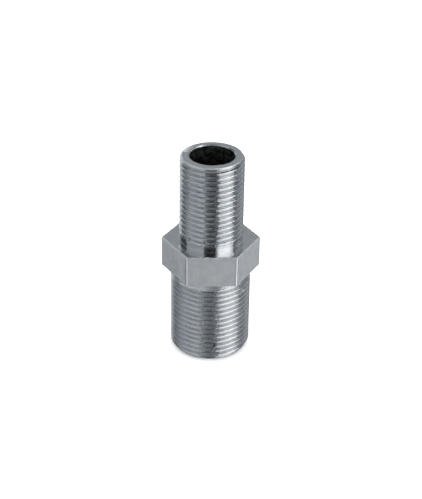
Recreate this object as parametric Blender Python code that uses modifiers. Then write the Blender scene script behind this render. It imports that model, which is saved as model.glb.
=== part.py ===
"""Reducing hex nipple: one solid piece with male G 3/4 below, a hexagon, and male G 1/2 above."""
import math

import bmesh
import bpy
from mathutils import Matrix

MM = 0.001
COLLECTION_NAME = "hex_nipple"
CUTTER_COLLECTION_NAME = "cutters"

# Lengths along the axis, from the face that the nipple stands on.
LOWER_LENGTH = 29.75 * MM
HEX_LENGTH = 10.5 * MM
UPPER_LENGTH = 29.75 * MM
HEX_BASE = LOWER_LENGTH
HEX_TOP = HEX_BASE + HEX_LENGTH
HEX_MIDDLE = HEX_BASE + HEX_LENGTH / 2
TOTAL_LENGTH = HEX_TOP + UPPER_LENGTH

# Hexagon, with corners on the X axis and flats that face -Y and +Y.
ACROSS_FLATS = 28 * MM
HEX_CORNER_ROUNDING = 0.9 * MM
HEX_CORNER_SEGMENTS = 2

# Whitworth pipe thread: 55 degrees between flanks, 14 turns an inch, parallel and right-hand.
PITCH = 25.4 / 14 * MM
THREAD_DEPTH = 0.640327 * PITCH
HALF_THREAD_ANGLE = math.radians(27.5)
ROOT_FLAT = PITCH / 6
LOWER_CREST_R = 26.441 / 2 * MM
UPPER_CREST_R = 20.955 / 2 * MM

# Where the middle of each groove fades out beside the hexagon: its height, and its angle from +X.
LOWER_GROOVE_END = (28.1 * MM, math.radians(252))
UPPER_GROOVE_END = (42.3 * MM, 0.0)
FADE_TURNS = 0.5

# Plain neck between the upper thread and the hexagon, with the fillet at its foot.
NECK_R = 20.7 / 2 * MM
NECK_TOP = HEX_TOP + 2.15 * MM
NECK_FILLET = 0.3 * MM
FILLET_SEGMENTS = 3

# Chamfers at the two ends: radial and axial size.
UPPER_CHAMFER = (0.8 * MM, 0.8 * MM)
LOWER_CHAMFER = (1.3 * MM, 1.7 * MM)
UPPER_BORE_CHAMFER = 0.35 * MM
LOWER_BORE_CHAMFER = 0.4 * MM

# Waterway: the small bore runs through, and a wider drilling from below ends in the drill's cone.
UPPER_BORE_R = 14.6 / 2 * MM
LOWER_BORE_R = 20.0 / 2 * MM
LOWER_BORE_DEPTH = 31 * MM
DRILL_HALF_ANGLE = math.radians(59)

# Facets and cutters. Both groove ends lie on whole steps, so that cutter and barrel facets line up.
STEPS = 30
CUTTER_CLEARANCE = 0.2 * MM
CUTTER_OVERRUN = 2 * MM
MERGE_DISTANCE = 0.000005
SHARP_ANGLE = math.radians(25)


def clear_scene():
    for old in list(bpy.data.objects):
        bpy.data.objects.remove(old, do_unlink=True)


def make_collection(name):
    collection = bpy.data.collections.new(name)
    bpy.context.scene.collection.children.link(collection)
    return collection


def chrome_plate():
    material = bpy.data.materials.new("chrome_plated_brass")
    material.use_nodes = True
    shader = material.node_tree.nodes["Principled BSDF"]
    shader.inputs["Base Color"].default_value = (0.62, 0.63, 0.65, 1.0)
    shader.inputs["Metallic"].default_value = 1.0
    shader.inputs["Roughness"].default_value = 0.2
    return material


def link_mesh(name, bm, collection):
    """A new object that holds the bmesh."""
    mesh = bpy.data.meshes.new(name)
    bm.to_mesh(mesh)
    bm.free()
    obj = bpy.data.objects.new(name, mesh)
    collection.objects.link(obj)
    return obj


def bake(obj):
    """Gives the object its evaluated mesh and drops its modifiers."""
    bpy.context.view_layer.update()
    depsgraph = bpy.context.evaluated_depsgraph_get()
    mesh = bpy.data.meshes.new_from_object(obj.evaluated_get(depsgraph))
    obj.modifiers.clear()
    obj.data = mesh


def swept(name, outline, closed, turns, rise, collection):
    """An outline of (radius, height) points in the XZ plane, turned about Z by a Screw modifier."""
    bm = bmesh.new()
    corners = [bm.verts.new((radius, 0, height)) for radius, height in outline]
    for start, end in zip(corners, corners[1:]):
        bm.edges.new((start, end))
    if closed:
        bm.edges.new((corners[-1], corners[0]))
    obj = link_mesh(name, bm, collection)
    screw = obj.modifiers.new("turn", "SCREW")
    screw.axis = "Z"
    screw.angle = 2 * math.pi
    screw.iterations = turns
    screw.screw_offset = rise
    screw.steps = STEPS
    screw.render_steps = STEPS
    screw.use_merge_vertices = not closed
    screw.merge_threshold = MERGE_DISTANCE
    bake(obj)
    return obj


def fillet_outline(neck_radius, face_height, fillet):
    """A quarter circle from the neck, down and out to the face."""
    angles = [math.pi / 2 * i / FILLET_SEGMENTS for i in range(FILLET_SEGMENTS + 1)]
    return [
        (neck_radius + fillet * (1 - math.cos(a)), face_height + fillet * (1 - math.sin(a)))
        for a in angles
    ]


def make_barrels(collection):
    """Both barrels and the neck as one turned solid, with no hexagon, threads or bore yet."""
    upper_in, upper_down = UPPER_CHAMFER
    lower_in, lower_up = LOWER_CHAMFER
    outline = [
        (0, TOTAL_LENGTH),
        (UPPER_CREST_R - upper_in, TOTAL_LENGTH),
        (UPPER_CREST_R, TOTAL_LENGTH - upper_down),
        (UPPER_CREST_R, NECK_TOP),
        (NECK_R, NECK_TOP),
        *fillet_outline(NECK_R, HEX_TOP, NECK_FILLET),
        (NECK_R + NECK_FILLET, HEX_MIDDLE),
        (LOWER_CREST_R, HEX_MIDDLE),
        (LOWER_CREST_R, lower_up),
        (LOWER_CREST_R - lower_in, 0),
        (0, 0),
    ]
    return swept("nipple_body", outline, False, 1, 0, collection)


def make_hexagon(collection):
    """The hexagonal prism, its six upright corners rounded."""
    corner_radius = ACROSS_FLATS / math.sqrt(3)
    bm = bmesh.new()
    bmesh.ops.create_cone(bm, cap_ends=True, segments=6, radius1=corner_radius,
                          radius2=corner_radius, depth=HEX_LENGTH)
    bmesh.ops.rotate(bm, verts=bm.verts, matrix=Matrix.Rotation(math.radians(30), 3, "Z"))
    bmesh.ops.translate(bm, verts=bm.verts, vec=(0, 0, HEX_MIDDLE))
    upright = [e for e in bm.edges if abs(e.verts[0].co.z - e.verts[1].co.z) > HEX_LENGTH / 2]
    bmesh.ops.bevel(bm, geom=upright, offset=HEX_CORNER_ROUNDING * math.tan(math.radians(30)),
                    offset_type="OFFSET", segments=HEX_CORNER_SEGMENTS, profile=0.5,
                    affect="EDGES")
    return link_mesh("hexagon", bm, collection)


def groove_outline(crest_radius):
    """The cutter's section: the root flat, and flanks carried on to just outside the crest."""
    root_radius = crest_radius - THREAD_DEPTH
    outer_radius = crest_radius + CUTTER_CLEARANCE
    half_root = ROOT_FLAT / 2
    half_mouth = half_root + (outer_radius - root_radius) * math.tan(HALF_THREAD_ANGLE)
    return [
        (root_radius, half_root),
        (outer_radius, half_mouth),
        (outer_radius, -half_mouth),
        (root_radius, -half_root),
    ]


def make_groove(name, crest_radius, base_height, base_angle, turns, fade_at_top, collection):
    """A helical groove cutter, whose section moves out of the metal over the part turn at one end."""
    outline = groove_outline(crest_radius)
    cutter = swept(name, outline, True, turns, PITCH, collection)
    bm = bmesh.new()
    bm.from_mesh(cutter.data)
    bm.verts.ensure_lookup_table()
    for vertex in bm.verts:
        turn = vertex.index // len(outline) / STEPS
        turns_from_end = turns - turn if fade_at_top else turn
        fade = max(0, 1 - turns_from_end / FADE_TURNS)
        shift = fade * (THREAD_DEPTH + CUTTER_CLEARANCE)
        radius = math.hypot(vertex.co.x, vertex.co.y)
        vertex.co.x *= 1 + shift / radius
        vertex.co.y *= 1 + shift / radius
    bmesh.ops.holes_fill(bm, edges=[e for e in bm.edges if e.is_boundary])
    placing = Matrix.Translation((0, 0, base_height)) @ Matrix.Rotation(base_angle, 4, "Z")
    bmesh.ops.transform(bm, matrix=placing, verts=bm.verts)
    bmesh.ops.recalc_face_normals(bm, faces=bm.faces)
    bm.to_mesh(cutter.data)
    bm.free()
    return cutter


def make_lower_groove(collection):
    """From below the bottom end up to its fade under the hexagon."""
    top, angle = LOWER_GROOVE_END
    turns = math.ceil((top + CUTTER_OVERRUN) / PITCH)
    return make_groove("lower_groove", LOWER_CREST_R, top - turns * PITCH, angle, turns, True,
                       collection)


def make_upper_groove(collection):
    """From its fade above the hexagon up to beyond the top end."""
    base, angle = UPPER_GROOVE_END
    turns = math.ceil((TOTAL_LENGTH + CUTTER_OVERRUN - base) / PITCH)
    return make_groove("upper_groove", UPPER_CREST_R, base, angle, turns, False, collection)


def make_waterway(collection):
    """The bores as one turned cutter: chamfer, small bore, drill cone, wide bore, chamfer."""
    step_top = LOWER_BORE_DEPTH + (LOWER_BORE_R - UPPER_BORE_R) / math.tan(DRILL_HALF_ANGLE)
    outline = [
        (0, TOTAL_LENGTH + CUTTER_OVERRUN),
        (UPPER_BORE_R + UPPER_BORE_CHAMFER + CUTTER_OVERRUN, TOTAL_LENGTH + CUTTER_OVERRUN),
        (UPPER_BORE_R, TOTAL_LENGTH - UPPER_BORE_CHAMFER),
        (UPPER_BORE_R, step_top),
        (LOWER_BORE_R, LOWER_BORE_DEPTH),
        (LOWER_BORE_R, LOWER_BORE_CHAMFER),
        (LOWER_BORE_R + LOWER_BORE_CHAMFER + CUTTER_OVERRUN, -CUTTER_OVERRUN),
        (0, -CUTTER_OVERRUN),
    ]
    return swept("waterway", outline, False, 1, 0, collection)


def weld_slivers(obj):
    """Merges the points that the cuts left within a few micrometres of each other."""
    bm = bmesh.new()
    bm.from_mesh(obj.data)
    bmesh.ops.remove_doubles(bm, verts=bm.verts, dist=MERGE_DISTANCE)
    bmesh.ops.dissolve_degenerate(bm, edges=bm.edges, dist=MERGE_DISTANCE)
    bm.to_mesh(obj.data)
    bm.free()


def add_boolean(body, cutter, operation):
    boolean = body.modifiers.new(cutter.name, "BOOLEAN")
    boolean.object = cutter
    boolean.operation = operation
    boolean.solver = "EXACT"
    cutter.hide_render = True
    cutter.display_type = "WIRE"


def make_nipple():
    parts = make_collection(COLLECTION_NAME)
    cutters = make_collection(CUTTER_COLLECTION_NAME)
    body = make_barrels(parts)
    add_boolean(body, make_hexagon(cutters), "UNION")
    add_boolean(body, make_lower_groove(cutters), "DIFFERENCE")
    add_boolean(body, make_upper_groove(cutters), "DIFFERENCE")
    add_boolean(body, make_waterway(cutters), "DIFFERENCE")
    bake(body)
    weld_slivers(body)
    body.data.materials.clear()
    body.data.materials.append(chrome_plate())
    body.data.shade_smooth()
    body.data.set_sharp_from_angle(angle=SHARP_ANGLE)


clear_scene()
make_nipple()
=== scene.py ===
import math

import bmesh
import bpy
from mathutils import Matrix, Vector, noise


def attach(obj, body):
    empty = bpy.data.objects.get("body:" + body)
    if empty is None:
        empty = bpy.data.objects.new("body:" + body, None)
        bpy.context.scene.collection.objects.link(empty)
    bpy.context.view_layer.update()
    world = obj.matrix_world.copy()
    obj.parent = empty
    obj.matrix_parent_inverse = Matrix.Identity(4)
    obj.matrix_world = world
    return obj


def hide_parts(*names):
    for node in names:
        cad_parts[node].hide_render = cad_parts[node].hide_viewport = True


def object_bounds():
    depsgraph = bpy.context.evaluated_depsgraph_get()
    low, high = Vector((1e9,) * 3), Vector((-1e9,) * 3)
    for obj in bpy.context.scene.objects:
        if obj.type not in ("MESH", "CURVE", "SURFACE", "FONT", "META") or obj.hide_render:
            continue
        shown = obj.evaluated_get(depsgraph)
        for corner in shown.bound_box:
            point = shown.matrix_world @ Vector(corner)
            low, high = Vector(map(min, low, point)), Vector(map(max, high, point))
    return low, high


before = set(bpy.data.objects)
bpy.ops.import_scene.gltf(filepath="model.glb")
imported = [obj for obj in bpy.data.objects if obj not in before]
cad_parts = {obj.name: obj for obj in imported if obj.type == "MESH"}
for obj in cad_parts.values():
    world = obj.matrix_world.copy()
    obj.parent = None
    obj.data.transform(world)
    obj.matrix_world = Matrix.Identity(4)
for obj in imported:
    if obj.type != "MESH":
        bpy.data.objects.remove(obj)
cad_low, cad_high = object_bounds()

MM = 0.001

# Driving sizes in metres, the CAD part's own but for three finer ones: the hexagon's corner rounding,
# the neck's fillet and the turn over which a groove fades out.
TOTAL_LENGTH = cad_high.z
HEX_BASE = 29.75 * MM
HEX_TOP = 40.25 * MM
ACROSS_FLATS = cad_high.y - cad_low.y
HEX_CORNER_ROUNDING = 0.55 * MM
PITCH = 25.4 / 14 * MM
THREAD_DEPTH = 0.640327 * PITCH
THREAD_ROUNDING = 0.137329 * PITCH
HALF_THREAD_ANGLE = math.radians(27.5)
LOWER_CREST_R = 26.441 / 2 * MM
UPPER_CREST_R = 20.955 / 2 * MM
LOWER_GROOVE_END = (28.1 * MM, math.radians(252))
UPPER_GROOVE_END = (42.3 * MM, 0.0)
FADE_TURNS = 0.25
NECK_R = 20.7 / 2 * MM
NECK_TOP = HEX_TOP + 2.15 * MM
NECK_FILLET = 0.12 * MM
UPPER_CHAMFER = (0.8 * MM, 0.8 * MM)
LOWER_CHAMFER = (1.3 * MM, 1.7 * MM)
UPPER_BORE_CHAMFER = 0.35 * MM
LOWER_BORE_CHAMFER = 0.4 * MM
UPPER_BORE_R = 7.3 * MM
LOWER_BORE_R = 10 * MM
LOWER_BORE_DEPTH = 31 * MM
DRILL_HALF_ANGLE = math.radians(59)

# Fineness and softening of the visual mesh. An edge break is the size of a rounded edge.
COLUMNS = 300
ROWS_PER_PITCH = 18
ARC_STEPS = 3
CORNER_STEPS = 6
FLAT_STEPS = 48
CREST_BLEND = 0.28 * MM
CHAMFER_BLEND = 0.08 * MM
HEX_LOWER_BREAK = 0.05 * MM
HEX_UPPER_BREAK = 0.4 * MM
# Narrow strips round the roundings keep the shading of the big faces beside them flat.
BORDER = 0.04 * MM
WELD = 0.002 * MM
CUT_TOLERANCE = WELD / 4
SHARP_ANGLE = math.radians(35)

# Where the threaded barrels are joined to the plain neck and to the plain band.
NECK_CUT = HEX_TOP + 1.05 * MM
BAND_CUT = HEX_BASE - 0.25 * MM
JOIN_GAP = 0.1 * MM

# Small faults of the real surface: (size, height from trough to top) of the soft waves in the threads,
# ragged edges, and dents as (azimuth in degrees from the front, height, radius, depth).
THREAD_WAVES = ((0.8 * MM, 0.03 * MM), (2.2 * MM, 0.05 * MM))
EDGE_NICK_SIZE = 0.8 * MM
EDGE_NICK_SHARE = 0.9
RIM_NICK_SIZE = 1.6 * MM
RIM_NICK_DEPTH = 0.16 * MM
DENTS = (
    (52, 24 * MM, 1.2 * MM, 0.25 * MM),
    (148, 58 * MM, 0.9 * MM, 0.25 * MM),
)

# The mesh's material slots, in order.
UPPER_THREAD, LOWER_THREAD, TURNED, FLATS, BORE = range(5)


# ---- shape -------------------------------------------------------------------------------------

def soft_min(a, b, blend):
    """The smaller of two radii, with the corner between them rounded."""
    overlap = max(blend - abs(a - b), 0) / blend
    return min(a, b) - overlap * overlap * blend / 4


def groove_wall(offset, crest_radius):
    """Radius of the groove's wall at an axial offset from its middle: round root, straight flanks."""
    root = crest_radius - THREAD_DEPTH
    offset = abs(offset)
    tangent = THREAD_ROUNDING * math.cos(HALF_THREAD_ANGLE)
    if offset < tangent:
        return root + THREAD_ROUNDING - math.sqrt(THREAD_ROUNDING ** 2 - offset ** 2)
    tangent_radius = root + THREAD_ROUNDING * (1 - math.sin(HALF_THREAD_ANGLE))
    return tangent_radius + (offset - tangent) / math.tan(HALF_THREAD_ANGLE)


def upper_blank(z):
    """Radius of the upper barrel before threading: neck, step to the crest, end chamfer."""
    chamfer_in, chamfer_down = UPPER_CHAMFER
    crest = min(UPPER_CREST_R, NECK_R + max(0, z - NECK_TOP))
    cone = UPPER_CREST_R - chamfer_in + (TOTAL_LENGTH - z) * chamfer_in / chamfer_down
    return soft_min(crest, cone, CHAMFER_BLEND)


def lower_blank(z):
    """Radius of the lower barrel before threading: crest and end chamfer."""
    chamfer_in, chamfer_up = LOWER_CHAMFER
    cone = LOWER_CREST_R - chamfer_in + z * chamfer_in / chamfer_up
    return soft_min(LOWER_CREST_R, cone, CHAMFER_BLEND)


def cut(bm, height, outward):
    """Cuts the whole mesh square at a height and drops what lies outward of it."""
    bmesh.ops.bisect_plane(bm, geom=[*bm.verts, *bm.edges, *bm.faces], dist=CUT_TOLERANCE,
                           clear_outer=True, plane_co=(0, 0, height), plane_no=outward)


def threaded_tube(bm, blank, crest_radius, groove_end, low, high, fade_at_top, material):
    """A barrel's surface from low to high. Its mesh rows follow the helix, so each keeps to one place
    on the thread's form, and planes at low and high then cut it square."""
    end_height, end_angle = groove_end
    side = -1 if fade_at_top else 1
    first = math.floor((low - end_height) / PITCH) - 1
    last = math.ceil((high - end_height) / PITCH) + 1
    rows = (last - first) * ROWS_PER_PITCH
    grid = []
    for column in range(COLUMNS):
        turn = column / COLUMNS
        angle = end_angle + 2 * math.pi * turn
        across, along = math.cos(angle), math.sin(angle)
        points = []
        for row in range(rows + 1):
            pitches = first + row / ROWS_PER_PITCH
            z = end_height + (pitches + turn) * PITCH
            groove = math.floor(pitches + 0.5)
            offset = (pitches - groove) * PITCH
            turns_in = side * (groove + turn)
            lift = min(max(1 - turns_in / FADE_TURNS, 0), 1) * (THREAD_DEPTH + CREST_BLEND)
            wall = groove_wall(offset, crest_radius) + lift
            radius = soft_min(blank(z), wall, CREST_BLEND)
            points.append(bm.verts.new((radius * across, radius * along, z)))
        grid.append(points)
    # The last column meets the first one a pitch higher up.
    grid.append(grid[0][ROWS_PER_PITCH:])
    for here, there in zip(grid, grid[1:]):
        for row in range(min(len(here), len(there)) - 1):
            face = bm.faces.new((here[row], there[row], there[row + 1], here[row + 1]))
            face.material_index = material
    cut(bm, low, (0, 0, -1))
    cut(bm, high, (0, 0, 1))


def build_upper(bm):
    """The upper threaded barrel, with its end chamfer in the satin finish."""
    threaded_tube(bm, upper_blank, UPPER_CREST_R, UPPER_GROOVE_END, NECK_CUT, TOTAL_LENGTH, False,
                  UPPER_THREAD)
    for face in bm.faces:
        if face.calc_center_median().z > TOTAL_LENGTH - UPPER_CHAMFER[1]:
            face.material_index = FLATS


def build_lower(bm):
    """The lower threaded barrel."""
    threaded_tube(bm, lower_blank, LOWER_CREST_R, LOWER_GROOVE_END, 0, BAND_CUT, True, LOWER_THREAD)


def ring(bm, radius, height):
    """A closed loop of points around the axis."""
    angles = [2 * math.pi * i / COLUMNS for i in range(COLUMNS)]
    return [bm.verts.new((radius * math.cos(a), radius * math.sin(a), height)) for a in angles]


def skin(bm, lower, upper, material):
    """Faces between two closed loops of as many points."""
    for i, start in enumerate(lower):
        j = (i + 1) % len(lower)
        face = bm.faces.new((start, lower[j], upper[j], upper[i]))
        face.material_index = material


def lathe(bm, outline, material):
    """A turned surface through (radius, height) points. The outer side runs bottom to top."""
    rings = [ring(bm, radius, height) for radius, height in outline]
    for lower, upper in zip(rings, rings[1:]):
        skin(bm, lower, upper, material)


def quarter_arc():
    """(sine, cosine) pairs over a quarter turn."""
    angles = [math.pi / 2 * i / ARC_STEPS for i in range(ARC_STEPS + 1)]
    return [(math.sin(a), math.cos(a)) for a in angles]


def hexagon_outline():
    """(point, outward direction) pairs around the hexagon, with rounded corners on the X axis."""
    corner_centre = (ACROSS_FLATS / 2 - HEX_CORNER_ROUNDING) / math.cos(math.radians(30))
    outline = []
    for corner in range(6):
        middle = math.radians(60 * corner)
        centre = Vector((math.cos(middle), math.sin(middle), 0)) * corner_centre
        for i in range(CORNER_STEPS + 1):
            angle = middle + math.radians(-30 + 60 * i / CORNER_STEPS)
            outward = Vector((math.cos(angle), math.sin(angle), 0))
            outline.append((centre + outward * HEX_CORNER_ROUNDING, outward))
        flat_start, outward = outline[-1]
        flat_end = Matrix.Rotation(math.radians(60), 3, "Z") @ outline[-1 - CORNER_STEPS][0]
        for i in range(1, FLAT_STEPS):
            outline.append((flat_start.lerp(flat_end, i / FLAT_STEPS), outward))
    return outline


def build_hexagon(bm):
    """The hexagon's flats and corners, with a slightly ragged break along its top and bottom edges."""
    outline = hexagon_outline()

    def loop(height, edge_break, sine, cosine, inset=0, rise=0):
        points = []
        for place, outward in outline:
            nicks = noise.noise((place + Vector((0, 0, height))) / EDGE_NICK_SIZE)
            size = edge_break * (1 + EDGE_NICK_SHARE * nicks)
            point = place - outward * (abs(size) * (1 - sine) + inset)
            point.z = height + size * (1 - cosine) + rise
            points.append(bm.verts.new(point))
        return points

    arc = quarter_arc()
    low, high = (HEX_BASE, HEX_LOWER_BREAK), (HEX_TOP, -HEX_UPPER_BREAK)
    loops = [loop(*low, 0, 1, inset=BORDER)]
    loops += [loop(*low, *angle) for angle in arc]
    loops += [loop(*low, 1, 0, rise=BORDER), loop(*high, 1, 0, rise=-BORDER)]
    loops += [loop(*high, *angle) for angle in reversed(arc)]
    loops += [loop(*high, 0, 1, inset=BORDER)]
    for lower, upper in zip(loops, loops[1:]):
        skin(bm, lower, upper, FLATS)


def build_neck_foot(bm):
    """The neck below the thread and the fillet that meets the hexagon."""
    foot = [
        (NECK_R + NECK_FILLET * (1 - sine), HEX_TOP + NECK_FILLET * (1 - cosine))
        for sine, cosine in quarter_arc()
    ]
    border_out = (NECK_R + NECK_FILLET + BORDER, HEX_TOP)
    border_up = (NECK_R, HEX_TOP + NECK_FILLET + BORDER)
    lathe(bm, [border_out, *foot, border_up, (NECK_R, NECK_CUT - JOIN_GAP)], TURNED)


def build_band(bm):
    """The plain band under the hexagon, in the same satin finish."""
    lathe(bm, [(LOWER_CREST_R, BAND_CUT + JOIN_GAP), (LOWER_CREST_R, HEX_BASE)], FLATS)


def build_bore(bm):
    """The waterway: small bore through, wide drilling from below with the drill's cone."""
    step_top = LOWER_BORE_DEPTH + (LOWER_BORE_R - UPPER_BORE_R) / math.tan(DRILL_HALF_ANGLE)
    lathe(bm, [
        (UPPER_BORE_R, TOTAL_LENGTH - UPPER_BORE_CHAMFER),
        (UPPER_BORE_R, step_top),
        (LOWER_BORE_R, LOWER_BORE_DEPTH),
        (LOWER_BORE_R, LOWER_BORE_CHAMFER),
    ], BORE)
    lathe(bm, [
        (LOWER_BORE_R, LOWER_BORE_CHAMFER),
        (LOWER_BORE_R + LOWER_BORE_CHAMFER, 0),
    ], TURNED)
    build_rim(bm)


def build_rim(bm):
    """The bore's upper chamfer, hand deburred: its outer edge wanders, and it has the duller of the two
    thread finishes. It lies inside the threads' root radius, so that finish paints it in full root
    shade."""
    outer = ring(bm, UPPER_BORE_R + UPPER_BORE_CHAMFER, TOTAL_LENGTH)
    inner = ring(bm, UPPER_BORE_R, TOTAL_LENGTH - UPPER_BORE_CHAMFER)
    for point in outer:
        wander = RIM_NICK_DEPTH * noise.noise(point.co / RIM_NICK_SIZE)
        point.co += Vector((point.co.x, point.co.y, 0)).normalized() * wander
    skin(bm, outer, inner, LOWER_THREAD)


def add_piece(target, build):
    """Runs a builder on its own bmesh and adds the result to the target."""
    piece = bmesh.new()
    build(piece)
    mesh = bpy.data.meshes.new("joining")
    piece.to_mesh(mesh)
    piece.free()
    target.from_mesh(mesh)
    bpy.data.meshes.remove(mesh)


def open_loop(bm, height, low_radius, high_radius):
    """The open edges at a height, between two distances from the axis."""
    def inside(vertex):
        distance = math.hypot(vertex.co.x, vertex.co.y)
        return abs(vertex.co.z - height) < WELD and low_radius < distance < high_radius
    return [e for e in bm.edges if e.is_boundary and all(inside(v) for v in e.verts)]


def bridge(bm, loop_a, loop_b):
    """Turned faces between two open loops."""
    made = bmesh.ops.bridge_loops(bm, edges=[*loop_a, *loop_b])
    for face in made["faces"]:
        face.material_index = TURNED


def close_gaps(bm):
    """Joins the barrels to the neck and the band, and fills the flat faces across the axis."""
    far = ACROSS_FLATS
    bridge(bm, open_loop(bm, NECK_CUT, 0, far), open_loop(bm, NECK_CUT - JOIN_GAP, 0, far))
    bridge(bm, open_loop(bm, BAND_CUT, 0, far), open_loop(bm, BAND_CUT + JOIN_GAP, 0, far))
    faces = (
        (HEX_TOP, NECK_R + NECK_FILLET + BORDER + WELD),
        (HEX_BASE, LOWER_CREST_R + WELD),
        (TOTAL_LENGTH, UPPER_BORE_R + UPPER_BORE_CHAMFER + RIM_NICK_DEPTH),
        (0, LOWER_BORE_R + LOWER_BORE_CHAMFER + WELD),
    )
    for height, parting in faces:
        bridge(bm, open_loop(bm, height, 0, parting), open_loop(bm, height, parting, far))


def wear(bm):
    """Moves the threads' points in and out by soft waves, and inward by the dents."""
    threads = {v for f in bm.faces if f.material_index in (UPPER_THREAD, LOWER_THREAD) for v in f.verts}
    for vertex in threads:
        place = vertex.co.copy()
        distance = math.hypot(place.x, place.y)
        inward = sum(depth * noise.noise(place / size) / 2 for size, depth in THREAD_WAVES)
        for azimuth, height, reach, depth in DENTS:
            angle = math.radians(azimuth)
            centre = Vector((math.sin(angle) * distance, -math.cos(angle) * distance, height))
            nearness = 1 - (place - centre).length_squared / reach ** 2
            if nearness > 0:
                inward += depth * nearness ** 2
        vertex.co.x -= place.x / distance * inward
        vertex.co.y -= place.y / distance * inward


def make_nipple():
    """The whole nipple as one closed mesh."""
    bm = bmesh.new()
    for build in (build_upper, build_lower, build_hexagon, build_neck_foot, build_band, build_bore):
        add_piece(bm, build)
    close_gaps(bm)
    bmesh.ops.remove_doubles(bm, verts=bm.verts, dist=WELD)
    bmesh.ops.dissolve_degenerate(bm, edges=bm.edges, dist=WELD)
    bmesh.ops.recalc_face_normals(bm, faces=bm.faces)
    wear(bm)
    mesh = bpy.data.meshes.new("chrome_nipple")
    bm.to_mesh(mesh)
    bm.free()
    nipple = bpy.data.objects.new("chrome_nipple", mesh)
    bpy.context.scene.collection.objects.link(nipple)
    mesh.shade_smooth()
    mesh.set_sharp_from_angle(angle=SHARP_ANGLE)
    return nipple


# ---- materials ---------------------------------------------------------------------------------

# Lengths in the materials are millimetres, and noise scales are per millimetre. Bump heights are
# metres. A pair called EDGES is where a smooth step starts and ends, and MIDDLE_EDGES spans the middle
# of a noise.
IN_MM = 1 / MM
MIDDLE_EDGES = (0.3, 0.7)
PLATE = (0.625, 0.64, 0.645)
PLATE_BLUE = (0.59, 0.605, 0.635)
# Painted highlight colour for the hexagon's corners.
CORNER_PAINTED_HIGHLIGHT = (0.88, 0.89, 0.90)
TURNED_PLATE = (0.69, 0.70, 0.70)
TURNED_BLUE = (0.655, 0.67, 0.69)
# Painted shade colour for the thread roots.
ROOT_PAINTED_SHADE = (0.50, 0.52, 0.525)
# Dark colour of the lower thread's scar and of the upper thread's painted dark reflection.
SCAR_AND_REFLECTION_DARK = (0.14, 0.145, 0.15)
SATIN = (0.81, 0.83, 0.84)
SATIN_DARK = (0.72, 0.74, 0.755)
# Painted shade: deep in the bore, and the darker and lighter stains near its mouth.
BORE_PAINTED_DEEP_SHADE = (0.02, 0.022, 0.022)
BORE_DARK = (0.03, 0.036, 0.033)
BORE_LIGHT = (0.10, 0.112, 0.104)

# Threads. Each thread has one dark mark: on the lower thread a scar, on the upper one a painted dark
# reflection. A mark is (azimuth in degrees from the front, height, lean in degrees, half length), and
# its edges are in shares of its half sizes. ROOT_EDGES are heights above the root.
UPPER_ROUGHNESS = 0.035
LOWER_ROUGHNESS = 0.165
# A painted dark reflection on the upper thread; the lower thread's mark is a real scar.
UPPER_PAINTED_REFLECTION = (-52, 43.8, 40, 0.6)
LOWER_SCAR = (4.5, 5.7, 42, 1.5)
SCAR_AND_REFLECTION_HALF_WIDTH = 0.3
SCAR_AND_REFLECTION_DEPTH = 2.0
SCAR_AND_REFLECTION_EDGES = (1.0, 0.6)
PATCH_SCALE = 0.16
PATCH_EDGES = (0.42, 0.62)
CHATTER_STRETCH = (0.5, 0.5, 4)
CHATTER_HEIGHT = 0.03 * MM
ROOT_EDGES = (0.05, 0.5)
# The next two shape the painted shade in the thread roots: where the chatter streaks are low it is half
# as strong.
ROOT_SHADE_EDGES = (0.2, 0.6)
ROOT_SHADE_LEAST = 0.5
DULL_SCALE = 1.3
DULL_ROUGHNESS = 0.12
ROOT_ROUGHNESS = 0.05
DIMPLE_SCALE = 1.1
DIMPLE_HEIGHT = 0.08 * MM

# Turned faces.
RING_SCALE = 5.0
RING_HEIGHT = 0.015 * MM
TURNED_CLOUD_SCALE = 0.35
TURNED_CLOUD_EDGES = (0.35, 0.7)
TURNED_ROUGHNESS = (0.05, 0.12)

# Satin faces. CORNER_EDGES are distances from the axis: outside them the corners are polished smoother
# and get a painted highlight in their colour.
LINE_STRETCH = (5, 5, 0.1)
LINE_HEIGHT = 0.012 * MM
SATIN_CLOUD_SCALE = 0.4
SATIN_CLOUD_EDGES = (0.4, 0.75)
SATIN_CLOUD_MOST = 0.4
SATIN_ROUGHNESS = (0.44, 0.54)
CORNER_EDGES = (15.78, 15.95)
CORNER_POLISH = -0.25

# Bore. Its colours are painted dark as shade and varied by stains. MOUTH_EDGES are heights: the stains
# show near the upper mouth only, and below them a deeper painted shade takes over.
STAIN_SCALE = 0.7
STAIN_EDGES = (0.35, 0.65)
STAIN_HEIGHT = 0.05 * MM
BORE_ROUGHNESS = (0.35, 0.6)
MOUTH_EDGES = (58.0, 70.0)


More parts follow.
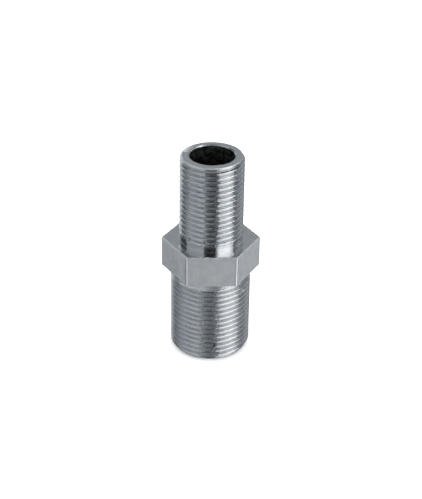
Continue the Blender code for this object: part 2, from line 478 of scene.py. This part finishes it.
class Graph:
    """Adds nodes to a material's or a world's tree and links them."""

    def __init__(self, tree):
        self.tree = tree

    def feed(self, socket, value):
        if isinstance(value, bpy.types.NodeSocket):
            self.tree.links.new(value, socket)
        elif isinstance(value, tuple) and socket.type == "RGBA":
            socket.default_value = (*value, 1)
        else:
            socket.default_value = value

    def node(self, kind, inputs, **settings):
        made = self.tree.nodes.new(kind)
        for name, value in settings.items():
            setattr(made, name, value)
        for name, value in inputs.items():
            self.feed(made.inputs[name], value)
        return made

    def math(self, operation, a, b=0.0):
        return self.node("ShaderNodeMath", {0: a, 1: b}, operation=operation).outputs[0]

    def step(self, value, start, end, at_start=0.0, at_end=1.0):
        """A smooth step of the value between start and end."""
        inputs = {
            "Value": value,
            "From Min": start,
            "From Max": end,
            "To Min": at_start,
            "To Max": at_end,
        }
        made = self.node("ShaderNodeMapRange", inputs, interpolation_type="SMOOTHSTEP")
        return made.outputs["Result"]

    def noise(self, place, scale, detail=2.0):
        inputs = {"Vector": place, "Scale": scale, "Detail": detail}
        return self.node("ShaderNodeTexNoise", inputs).outputs["Fac"]

    def mix(self, factor, a, b):
        made = self.node("ShaderNodeMix", {"Factor": factor}, data_type="RGBA")
        self.feed(made.inputs["A"], a)
        self.feed(made.inputs["B"], b)
        return made.outputs["Result"]

    def stretch(self, place, scales):
        inputs = {0: place, 1: scales}
        return self.node("ShaderNodeVectorMath", inputs, operation="MULTIPLY").outputs["Vector"]

    def bump(self, height, distance, normal=None):
        inputs = {"Height": height, "Distance": distance}
        if normal:
            inputs["Normal"] = normal
        return self.node("ShaderNodeBump", inputs).outputs["Normal"]


def metal(name):
    """A new bare metal: the material, its graph and shader, and the surface point with its distance from
    the axis."""
    material = bpy.data.materials.new(name)
    material.use_nodes = True
    shader = material.node_tree.nodes["Principled BSDF"]
    shader.inputs["Metallic"].default_value = 1.0
    graph = Graph(material.node_tree)
    coordinates = graph.node("ShaderNodeTexCoord", {}).outputs["Object"]
    place = graph.stretch(coordinates, (IN_MM, IN_MM, IN_MM))
    across = graph.stretch(place, (1, 1, 0))
    radius = graph.node("ShaderNodeVectorMath", {0: across}, operation="LENGTH").outputs["Value"]
    return material, graph, shader, place, radius


def thread_chrome(name, crest_radius, least_roughness, scar_and_reflection):
    """Plated thread: painted shade in the root, weaker where the chatter streaks are low, bluish
    patches, chatter marks along the turns, and one dark mark: a scar on the lower thread, a painted dark
    reflection on the upper one.
    """
    material, graph, shader, place, radius = metal(name)
    root = (crest_radius - THREAD_DEPTH) * IN_MM
    patches = graph.step(graph.noise(place, PATCH_SCALE, 3), *PATCH_EDGES)
    plate = graph.mix(patches, PLATE, PLATE_BLUE)
    streaks = graph.noise(graph.stretch(place, CHATTER_STRETCH), 1.0, 3)
    start, end = ROOT_EDGES
    in_root = graph.step(radius, root + start, root + end, 1.0, 0.0)
    # Painted shade in the thread roots, half as strong where the chatter streaks are low.
    root_shade = graph.math("MULTIPLY", in_root, graph.step(streaks, *ROOT_SHADE_EDGES, ROOT_SHADE_LEAST, 1.0))
    azimuth, height, lean, half_length = scar_and_reflection
    angle = math.radians(azimuth)
    crest = crest_radius * IN_MM
    along_scar_and_reflection = graph.node("ShaderNodeMapping", {
        "Vector": place,
        "Location": (crest * math.sin(angle), -crest * math.cos(angle), height),
        "Rotation": (0, math.radians(lean), angle),
        "Scale": (SCAR_AND_REFLECTION_HALF_WIDTH, SCAR_AND_REFLECTION_DEPTH, half_length),
    }, vector_type="TEXTURE").outputs["Vector"]
    off_scar_and_reflection = graph.node("ShaderNodeVectorMath", {0: along_scar_and_reflection}, operation="LENGTH").outputs["Value"]
    # The dark mark's colour: a real scar on the lower thread, a painted dark reflection on the upper
    # one.
    scarred_and_reflected = graph.mix(graph.step(off_scar_and_reflection, *SCAR_AND_REFLECTION_EDGES), graph.mix(root_shade, plate, ROOT_PAINTED_SHADE), SCAR_AND_REFLECTION_DARK)
    graph.feed(shader.inputs["Base Color"], scarred_and_reflected)
    dull = graph.math("MULTIPLY", graph.noise(place, DULL_SCALE, 3), DULL_ROUGHNESS)
    dull = graph.math("ADD", dull, graph.math("MULTIPLY", in_root, ROOT_ROUGHNESS))
    graph.feed(shader.inputs["Roughness"], graph.math("ADD", dull, least_roughness))
    chatter = graph.bump(streaks, CHATTER_HEIGHT)
    dimples = graph.noise(place, DIMPLE_SCALE, 4)
    graph.feed(shader.inputs["Normal"], graph.bump(dimples, DIMPLE_HEIGHT, chatter))
    return material


def turned_chrome():
    """Polished plate over turned faces: rings on flat faces, turns on round ones."""
    material, graph, shader, place, radius = metal("turned_chrome")
    height = graph.node("ShaderNodeSeparateXYZ", {0: place}).outputs["Z"]
    along = graph.math("ADD", radius, height)
    rings = graph.node("ShaderNodeTexNoise", {"W": along, "Scale": RING_SCALE, "Detail": 3.0},
                       noise_dimensions="1D").outputs["Fac"]
    clouds = graph.noise(place, TURNED_CLOUD_SCALE, 3)
    plate = graph.mix(graph.step(clouds, *TURNED_CLOUD_EDGES), TURNED_PLATE, TURNED_BLUE)
    graph.feed(shader.inputs["Base Color"], plate)
    graph.feed(shader.inputs["Roughness"], graph.step(clouds, *MIDDLE_EDGES, *TURNED_ROUGHNESS))
    graph.feed(shader.inputs["Normal"], graph.bump(rings, RING_HEIGHT))
    return material


def satin_flats():
    """Satin plate on the hexagon, the band and the upper chamfer: fine upright lines, and the hexagon's
    corners polished smoother, with a painted highlight in their colour."""
    material, graph, shader, place, radius = metal("satin_flats")
    lines = graph.noise(graph.stretch(place, LINE_STRETCH), 1.0, 3)
    clouds = graph.noise(place, SATIN_CLOUD_SCALE, 3)
    satin = graph.mix(graph.step(lines, *MIDDLE_EDGES), SATIN_DARK, SATIN)
    cloudy = graph.step(clouds, *SATIN_CLOUD_EDGES, 0.0, SATIN_CLOUD_MOST)
    satin = graph.mix(cloudy, satin, PLATE_BLUE)
    corner = graph.step(radius, *CORNER_EDGES)
    # Painted highlight along the hexagon's corners.
    graph.feed(shader.inputs["Base Color"], graph.mix(corner, satin, CORNER_PAINTED_HIGHLIGHT))
    roughness = graph.step(lines, *MIDDLE_EDGES, *SATIN_ROUGHNESS)
    worn = graph.math("MULTIPLY", corner, CORNER_POLISH)
    graph.feed(shader.inputs["Roughness"], graph.math("ADD", roughness, worn))
    graph.feed(shader.inputs["Normal"], graph.bump(lines, LINE_HEIGHT))
    return material


def bore_metal():
    """Unplated bore: dull, painted dark as shade, stained near the mouth, and painted darker still
    further in.
    """
    material, graph, shader, place, _ = metal("bore_metal")
    height = graph.node("ShaderNodeSeparateXYZ", {0: place}).outputs["Z"]
    stains = graph.noise(place, STAIN_SCALE, 4)
    near_mouth = graph.step(height, *MOUTH_EDGES)
    mouth = graph.mix(graph.step(stains, *STAIN_EDGES), BORE_DARK, BORE_LIGHT)
    # Deeper in, the bore is painted in deeper shade.
    graph.feed(shader.inputs["Base Color"], graph.mix(near_mouth, BORE_PAINTED_DEEP_SHADE, mouth))
    graph.feed(shader.inputs["Roughness"], graph.step(stains, *MIDDLE_EDGES, *BORE_ROUGHNESS))
    graph.feed(shader.inputs["Normal"], graph.bump(stains, STAIN_HEIGHT))
    return material


nipple = make_nipple()
for finish in (
    thread_chrome("upper_thread_chrome", UPPER_CREST_R, UPPER_ROUGHNESS, UPPER_PAINTED_REFLECTION),
    thread_chrome("lower_thread_chrome", LOWER_CREST_R, LOWER_ROUGHNESS, LOWER_SCAR),
    turned_chrome(),
    satin_flats(),
    bore_metal(),
):
    nipple.data.materials.append(finish)
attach(nipple, "root")
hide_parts("nipple_body")


# ---- camera ------------------------------------------------------------------------------------

CAMERA_DISTANCE = 437.1 * MM
CAMERA_ELEVATION = math.radians(30.12)
CAMERA_AZIMUTH = math.radians(-1.776)
CAMERA_ROLL = math.radians(0.929)
CAMERA_TARGET = Vector((0.054 * MM, 0, 35.36 * MM))
CAMERA_LENS = 95.77
CAMERA_CLIP = (0.01, 20)
SENSOR_WIDTH = 36


def make_camera():
    """The photograph's camera, which looks down at the target from the front."""
    data = bpy.data.cameras.new("camera")
    camera = bpy.data.objects.new("camera", data)
    bpy.context.scene.collection.objects.link(camera)
    back = Vector((
        math.sin(CAMERA_AZIMUTH) * math.cos(CAMERA_ELEVATION),
        -math.cos(CAMERA_AZIMUTH) * math.cos(CAMERA_ELEVATION),
        math.sin(CAMERA_ELEVATION),
    ))
    camera.location = CAMERA_TARGET + back * CAMERA_DISTANCE
    facing = (-back).to_track_quat("-Z", "Y").to_matrix().to_4x4()
    camera.rotation_euler = (facing @ Matrix.Rotation(CAMERA_ROLL, 4, "Z")).to_euler()
    data.lens = CAMERA_LENS
    data.sensor_width = SENSOR_WIDTH
    data.clip_start, data.clip_end = CAMERA_CLIP
    bpy.context.scene.camera = camera


# ---- studio ------------------------------------------------------------------------------------

# What the metal reflects: soft panels of light in a dark room, added up, and a flag that takes light
# away. Each has its edges in azimuth and in elevation, the softness of those edges, and its radiance.
# Angles are in degrees; azimuth 0 is the front, where the camera is, and 90 is the right. The gap in
# front of the camera stays dark.
ROOM_RADIANCE = 0.015
PANELS = (
    (21, 86, -20, 53, 6, 1.38),       # right softbox
    (29, 70, -4, 49, 14, 0.55),       # its bright middle
    (32, 60, 7, 23, 8, -1.15),        # a grey flag across it
    (62, 100, 42, 64, 14, 1.10),      # its upper edge, tilted over the set
    (48, 86, -34, -10, 8, 0.50),      # its foot
    (-101, -26, -22, 50, 8, 0.50),    # left reflector
    (-52, -29, -20, 20, 8, 0.38),     # its near edge
    (-112, -62, 46, 74, 12, 0.48),    # its upper edge
    (-114, -92, -20, 4, 8, 0.15),     # its foot
    (93, 129, -16, 31, 10, 0.61),     # right wall
    (-176, -104, -18, 24, 10, 0.44),  # left wall
    (130, 216, 6, 40, 16, 0.34),      # back wall
    (151, 222, -42, -2, 14, 0.95),    # table, behind
    (-108, 160, -42, -20, 10, 0.28),  # table, all round
    (-32, 10, -50, -26, 8, 0.16),     # table, in front
    (-102, -12, -44, -12, 12, 0.27),  # table, left
    (34, 92, -72, -32, 16, 1.45),     # table, close by on the right
    (-200, 200, -95, -58, 10, 0.45),  # table, underfoot
    (-72, 72, 58, 76, 10, 0.25),      # ceiling, in front
    (-160, -112, 39, 57, 8, 0.30),    # ceiling, left
    (112, 160, 39, 57, 8, 0.12),      # ceiling, right
    (148, 212, 58, 78, 10, 0.32),     # ceiling, behind
)
# Dim light is a little blue and bright light is white.
DIM_TINT = (0.94, 1.0, 1.055)
BRIGHT_TINT = (1.0, 1.0, 1.0)
TINT_RADIANCES = (0.3, 1.6)
DAYLIGHT = 1.7
FLOOR_SIZE = 12
FLOOR_COLOUR = (0.93, 0.93, 0.93, 1)
FLOOR_ROUGHNESS = 0.9


def make_world():
    """Even daylight for the floor and the background, and the panels in what the metal reflects."""
    world = bpy.data.worlds.new("studio")
    bpy.context.scene.world = world
    world.use_nodes = True
    world.node_tree.nodes.clear()
    graph = Graph(world.node_tree)
    direction = graph.node("ShaderNodeTexCoord", {}).outputs["Generated"]
    parts = graph.node("ShaderNodeSeparateXYZ", {0: direction}).outputs
    azimuth = graph.math("ARCTAN2", parts["X"], graph.math("MULTIPLY", parts["Y"], -1.0))
    elevation = graph.math("ARCSINE", parts["Z"])
    light = ROOM_RADIANCE
    for left, right, bottom, top, softness, radiance in PANELS:
        inside = radiance
        for angle, start, end in ((azimuth, left, right), (elevation, bottom, top)):
            off_centre = graph.math("SUBTRACT", angle, math.radians((start + end) / 2))
            away = graph.math("ARCCOSINE", graph.math("COSINE", off_centre))
            half = math.radians((end - start) / 2)
            blur = math.radians(softness / 2)
            inside = graph.math("MULTIPLY", graph.step(away, half + blur, half - blur), inside)
        light = graph.math("ADD", inside, light)
    tint = graph.mix(graph.step(light, *TINT_RADIANCES), DIM_TINT, BRIGHT_TINT)
    studio = graph.node("ShaderNodeBackground", {"Color": tint, "Strength": light})
    plain = graph.node("ShaderNodeBackground", {"Color": (1.0, 1.0, 1.0), "Strength": DAYLIGHT})
    glossy = graph.node("ShaderNodeLightPath", {}).outputs["Is Glossy Ray"]
    shown = graph.node("ShaderNodeMixShader", {0: glossy, 1: plain.outputs[0], 2: studio.outputs[0]})
    graph.node("ShaderNodeOutputWorld", {"Surface": shown.outputs[0]})


def make_floor():
    """A plain pale floor that doesn't show in the metal."""
    bpy.ops.mesh.primitive_plane_add(size=FLOOR_SIZE, location=(0, 0, 0))
    floor = bpy.context.object
    floor.name = "floor"
    material = bpy.data.materials.new("pale_floor")
    material.use_nodes = True
    shader = material.node_tree.nodes["Principled BSDF"]
    shader.inputs["Base Color"].default_value = FLOOR_COLOUR
    shader.inputs["Roughness"].default_value = FLOOR_ROUGHNESS
    shader.inputs["Specular IOR Level"].default_value = 0.0
    floor.data.materials.append(material)
    floor.visible_glossy = False


make_camera()
make_world()
make_floor()
bpy.context.scene.view_settings.view_transform = "Standard"
